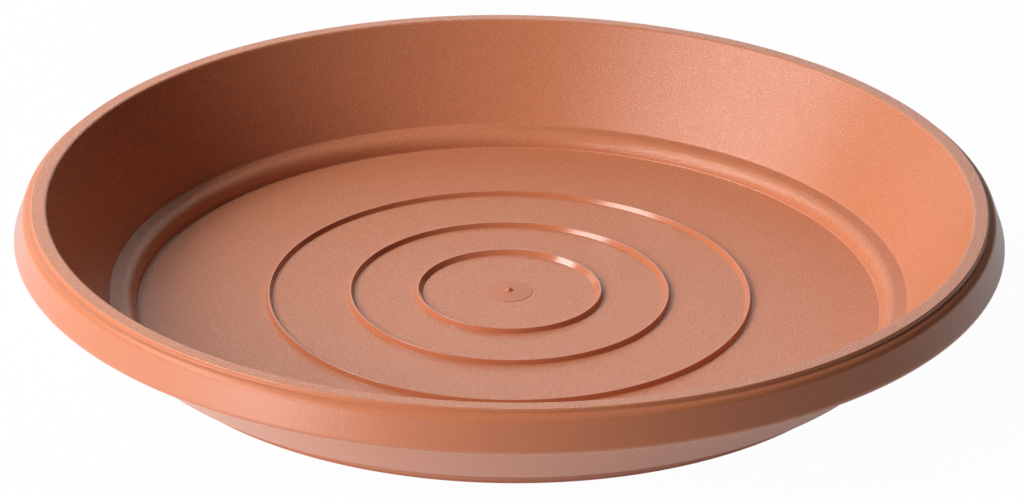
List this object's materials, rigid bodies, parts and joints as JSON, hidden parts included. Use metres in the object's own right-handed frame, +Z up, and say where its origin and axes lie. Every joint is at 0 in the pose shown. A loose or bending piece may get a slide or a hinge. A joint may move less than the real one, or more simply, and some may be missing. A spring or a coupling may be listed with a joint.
{
  "type": "plant saucer",
  "caption": "Round moulded saucer with a leaning wall, a stepped rim with an open skirt and raised rings on its floor, which stands under a plant pot and holds the water that drains.",
  "frame": {"origin": "centre of the saucer on the plane that its foot stands on", "axes": "+Z up along the axis that the saucer is turned about; X and Y are free, since it is round"},
  "size_m": [0.3, 0.3, 0.0384],
  "materials": {
    "grained": "terracotta polypropylene with a fine spark-eroded grain",
    "satin": "terracotta polypropylene, satin",
    "smooth": "terracotta polypropylene, smooth and a little glossier"
  },
  "bodies": {
    "root": {"floor_plate": "grained", "foot_ring": "satin", "heel_ring": "grained", "side_wall": "grained", "rim_lip": "grained", "rim_skirt": "satin", "inner_rib": "smooth", "middle_rib": "smooth", "outer_rib": "smooth", "gate_mark": "smooth"}
  },
  "joints": []
}
